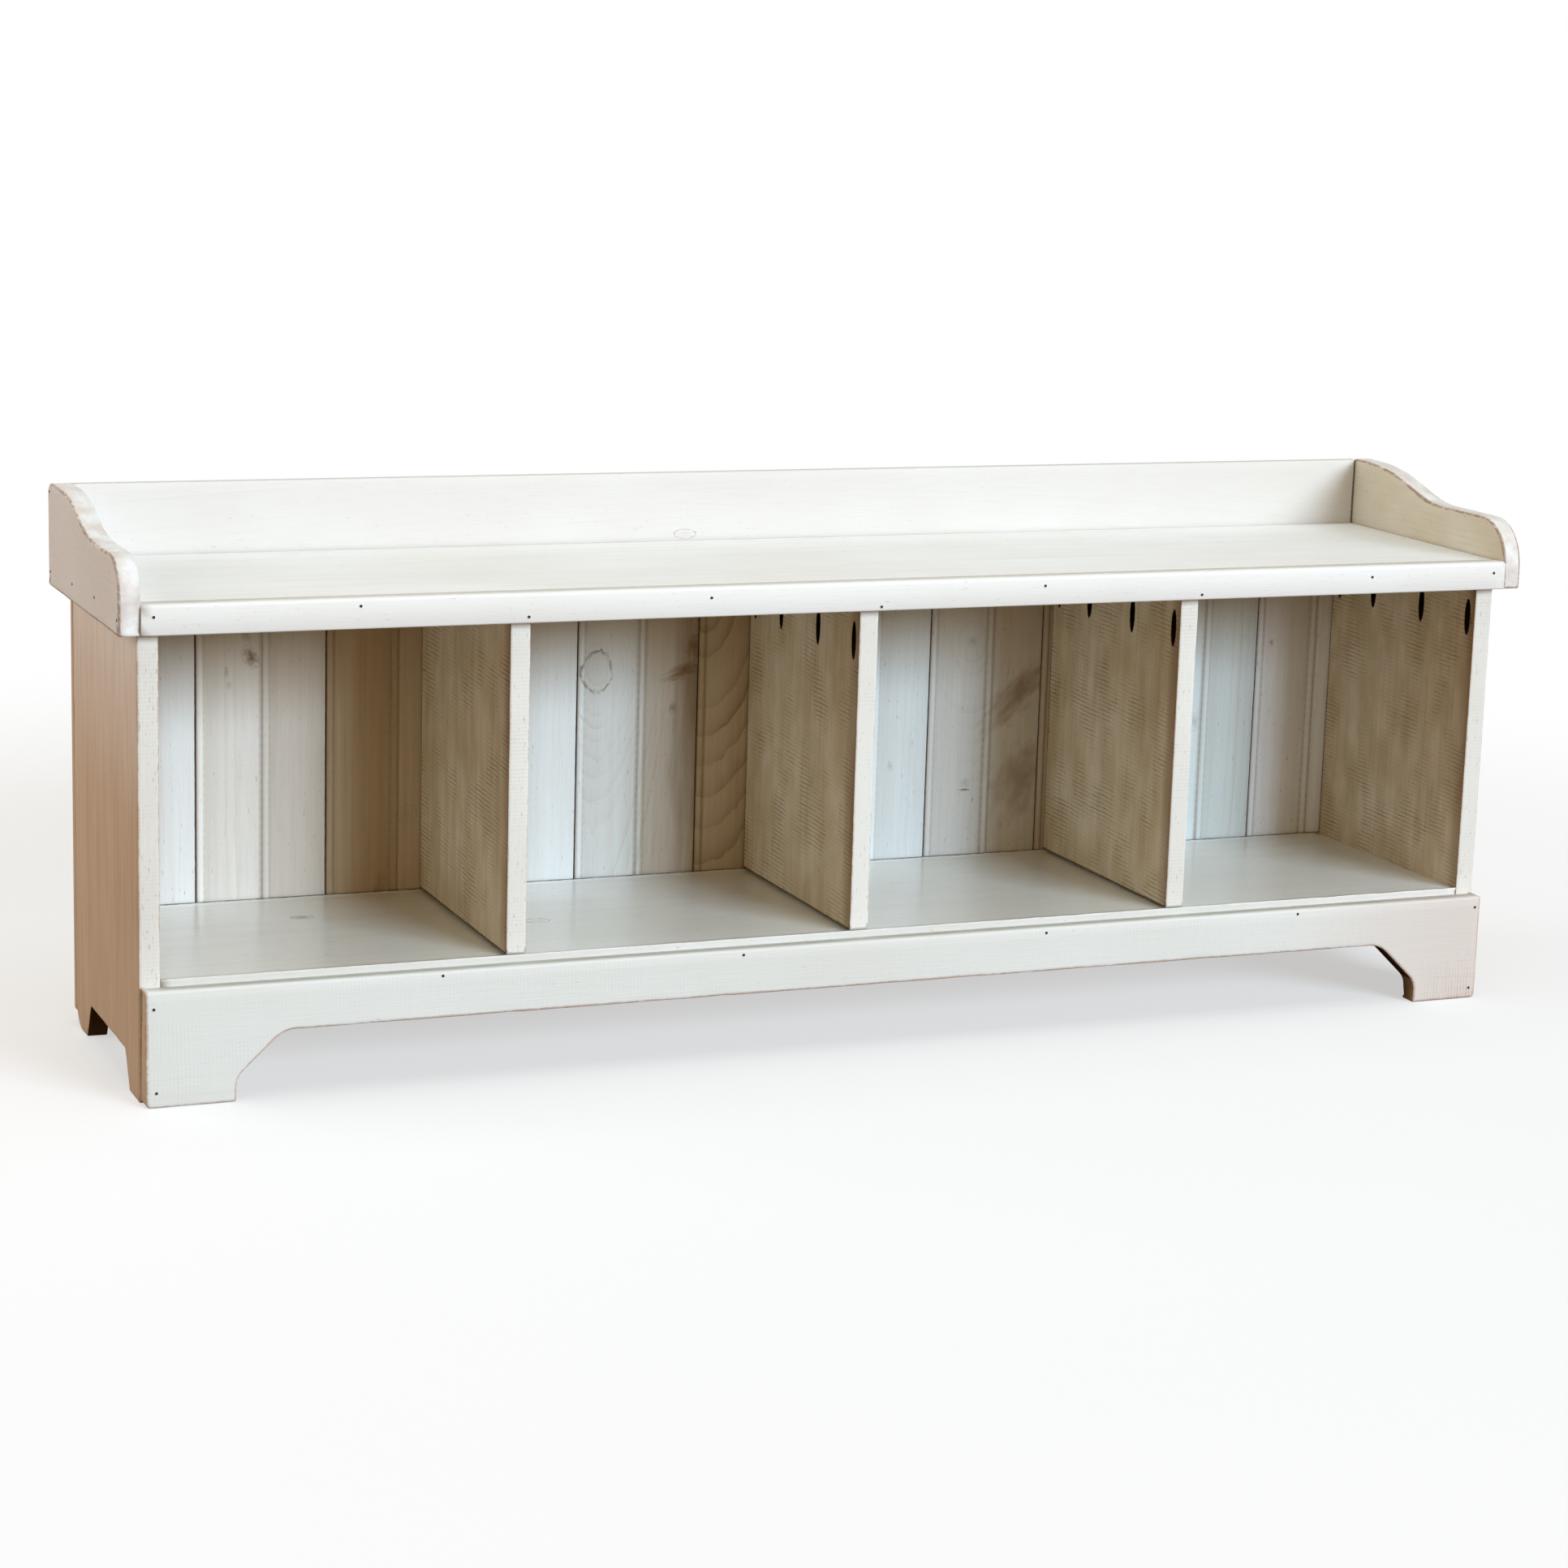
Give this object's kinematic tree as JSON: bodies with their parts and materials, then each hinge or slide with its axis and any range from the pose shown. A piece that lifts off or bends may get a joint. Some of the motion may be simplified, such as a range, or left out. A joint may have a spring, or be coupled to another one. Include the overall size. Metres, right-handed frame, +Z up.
{
  "type": "cubby bench",
  "caption": "Long, low painted wood bench with a row of open-front cubbies, beaded plank back, bracket-foot apron, and a low gallery with scalloped ends round the seat.",
  "frame": {"origin": "on the floor, under the middle of the bench", "axes": "+X along the bench to the right as seen from the front, +Y to the back, +Z up"},
  "size_m": [1.4396, 0.3126, 0.528],
  "materials": {
    "white_front_paint": "white milk paint over rough-sawn pine, worn at the edges",
    "white_seat_paint": "white milk paint, rubbed smoother by use",
    "white_plank_paint": "thin white paint with knots and grain showing through",
    "thin_end_wash": "thin wash over tan pine",
    "thin_divider_wash": "thin white wash over saw-marked pine",
    "dark_iron_fasteners": "dull dark iron of the brads and pocket screws"
  },
  "bodies": {
    "root": {"left_end_panel": "thin_end_wash", "right_end_panel": "thin_end_wash", "divider_1": "thin_divider_wash", "divider_2": "thin_divider_wash", "divider_3": "thin_divider_wash", "cubby_floor": "white_seat_paint", "base_apron": "white_front_paint", "seat_board": "white_seat_paint", "seat_nosing": "white_front_paint", "gallery_back": "white_front_paint", "left_gallery_end": "white_front_paint", "right_gallery_end": "white_front_paint", "back_plank_01": "white_plank_paint", "back_plank_02": "white_plank_paint", "back_plank_03": "white_plank_paint", "back_plank_04": "white_plank_paint", "back_plank_05": "white_plank_paint", "back_plank_06": "white_plank_paint", "back_plank_07": "white_plank_paint", "back_plank_08": "white_plank_paint", "back_plank_09": "white_plank_paint", "back_plank_10": "white_plank_paint", "back_plank_11": "white_plank_paint"}
  },
  "joints": []
}
